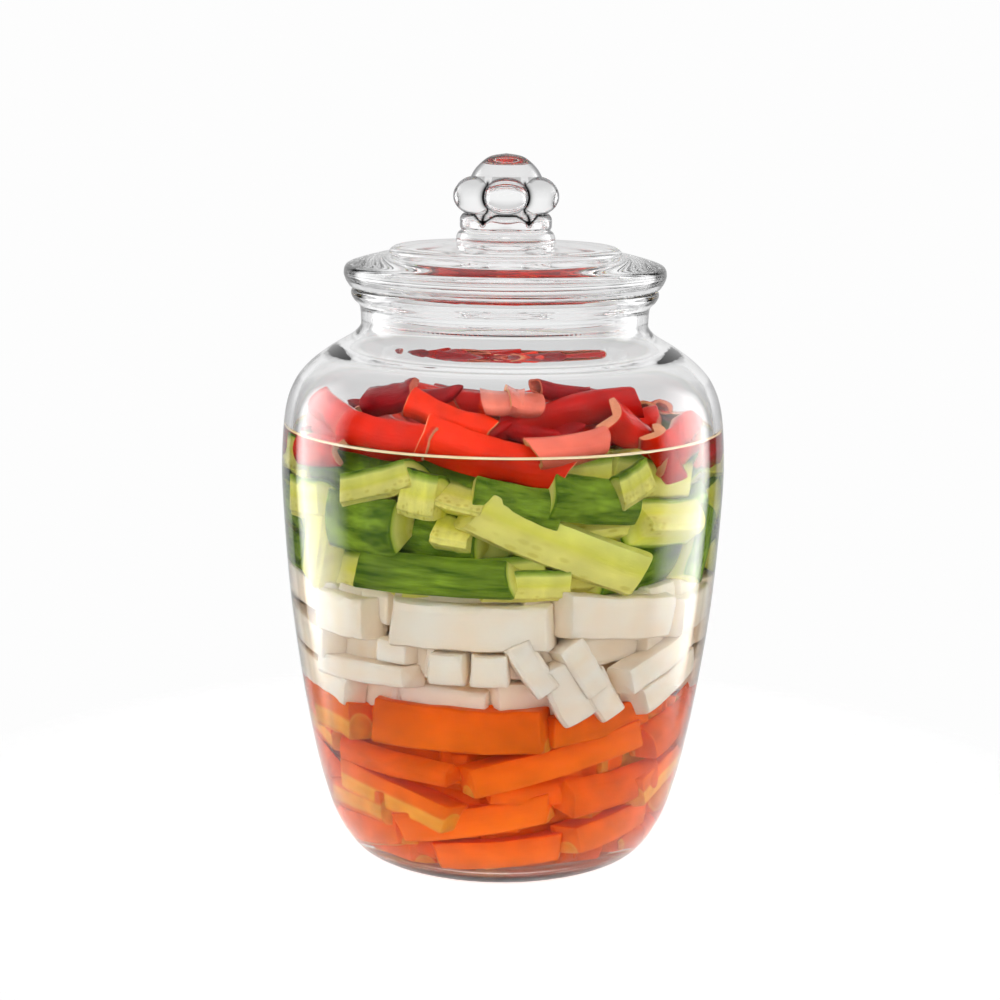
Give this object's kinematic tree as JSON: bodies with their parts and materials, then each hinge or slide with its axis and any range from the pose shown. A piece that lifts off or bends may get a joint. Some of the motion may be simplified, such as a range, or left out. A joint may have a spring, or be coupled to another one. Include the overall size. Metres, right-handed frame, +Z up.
{
  "type": "water seal fermentation jar",
  "caption": "Round clear glass fermentation jar with a knobbed glass lid, filled with layers of cut carrot, radish, cucumber and chilli.",
  "frame": {"origin": "centre of the base, on the surface that the jar stands on", "axes": "+Z up along the jar's middle line, from the base to the knob; -Y is the side that the picture shows"},
  "size_m": [0.1658, 0.1658, 0.265],
  "materials": {
    "clear_glass": "clear polished glass",
    "carrot": "wet cut carrot",
    "radish": "wet translucent white radish",
    "cucumber": "wet cut cucumber with dark green skin",
    "chilli": "wet glossy red chilli skin"
  },
  "bodies": {
    "root": {"glass_jar": "clear_glass", "glass_lid": "clear_glass", "carrot_layer": "carrot", "radish_layer": "radish", "cucumber_layer": "cucumber", "chilli_layer": "chilli"}
  },
  "joints": []
}
